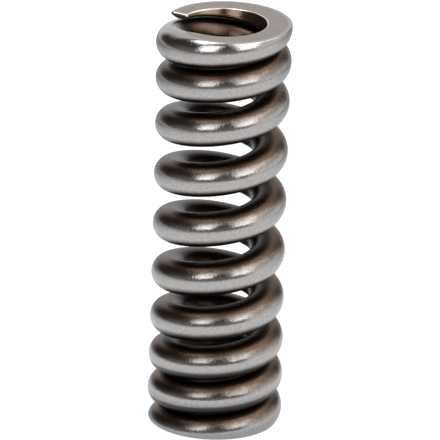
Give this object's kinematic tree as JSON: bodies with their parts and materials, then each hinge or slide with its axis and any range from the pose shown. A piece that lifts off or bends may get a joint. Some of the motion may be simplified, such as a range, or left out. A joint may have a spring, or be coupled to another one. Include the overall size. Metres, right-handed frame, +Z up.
{
  "type": "injection pump spring",
  "caption": "Short, stiff helical compression spring of round steel wire, wound right-hand, with closed and ground ends.",
  "frame": {"origin": "centre of the lower ground end, on the coil's axis", "axes": "+Z up along the coil's axis, from the lower ground end to the upper one; seen from above, the wire's lower tip points 115 degrees round from +X"},
  "size_m": [0.0126, 0.0126, 0.039],
  "materials": {
    "spring_steel": "shot-peened and lightly oiled spring steel wire, warm grey with soft highlights; the two end faces are ground matt"
  },
  "bodies": {
    "root": {"coil_spring": "spring_steel"}
  },
  "joints": []
}
